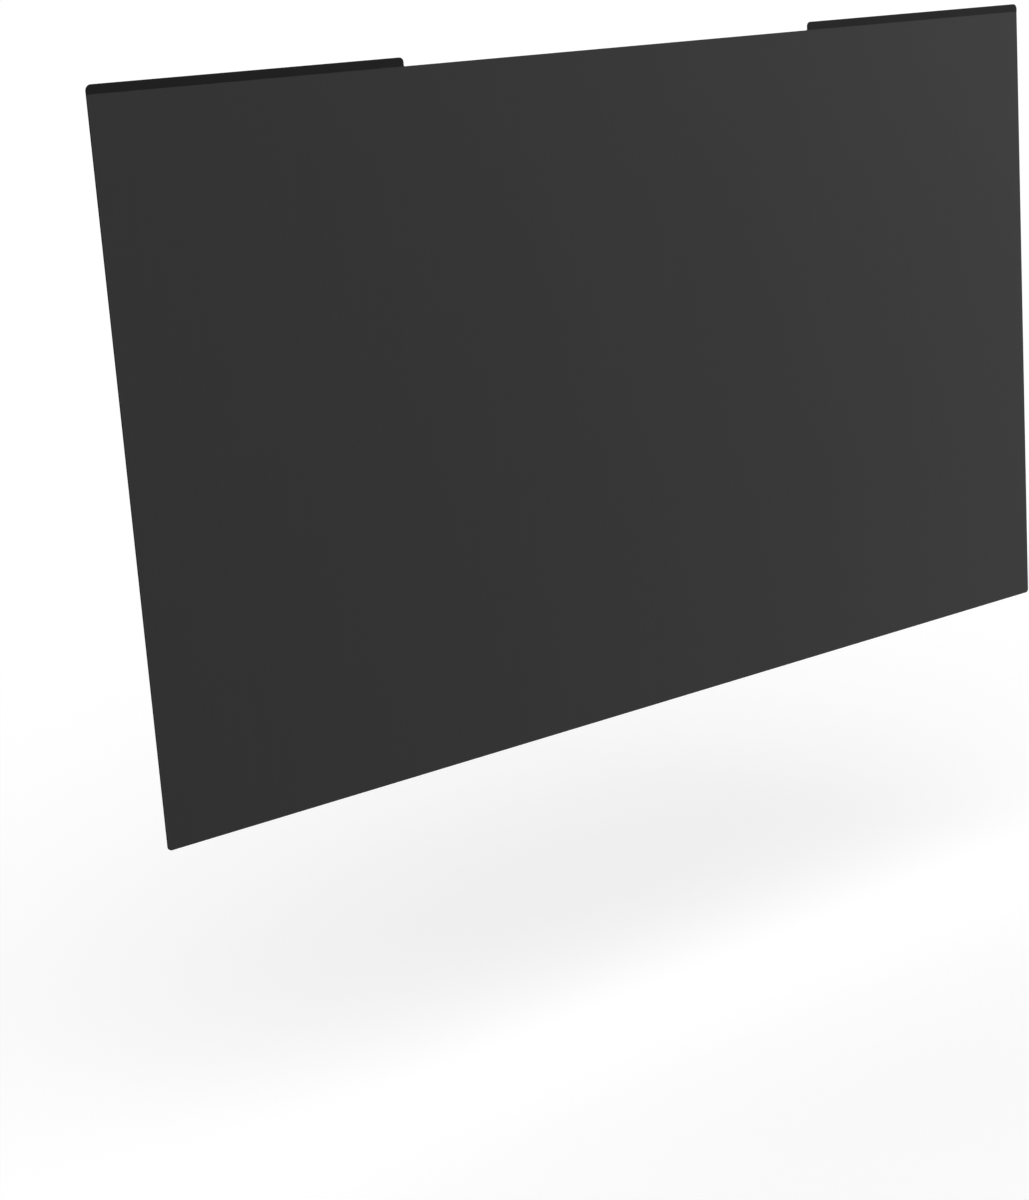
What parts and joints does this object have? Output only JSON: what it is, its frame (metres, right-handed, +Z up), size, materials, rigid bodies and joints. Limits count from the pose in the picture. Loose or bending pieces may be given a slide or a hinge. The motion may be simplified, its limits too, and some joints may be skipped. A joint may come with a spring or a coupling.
{
  "type": "monitor privacy filter",
  "caption": "Thin dark louvre film that hangs over a monitor's screen by magnet strips on raised tabs at its top corners, with a gap between them for a webcam.",
  "frame": {"origin": "on the mounting plane where the magnets meet the frame above a screen, midway across the film and halfway up the tabs", "axes": "+X to the right as the viewer sees it, +Y from the viewer to the screen and out of the magnets' faces, +Z up"},
  "size_m": [0.527, 0.0016, 0.3035],
  "materials": {
    "film": "anti-glare louvre film, charcoal when seen from the side",
    "facing": "dull black skin",
    "magnet": "dark ferrite rubber with fine drawn lines",
    "tape": "milky adhesive tape"
  },
  "bodies": {
    "root": {"privacy_film": "film", "left_strip_facing": "facing", "right_strip_facing": "facing", "left_magnet_strip": "magnet", "right_magnet_strip": "magnet", "left_bonding_tape": "tape", "right_bonding_tape": "tape"}
  },
  "joints": []
}
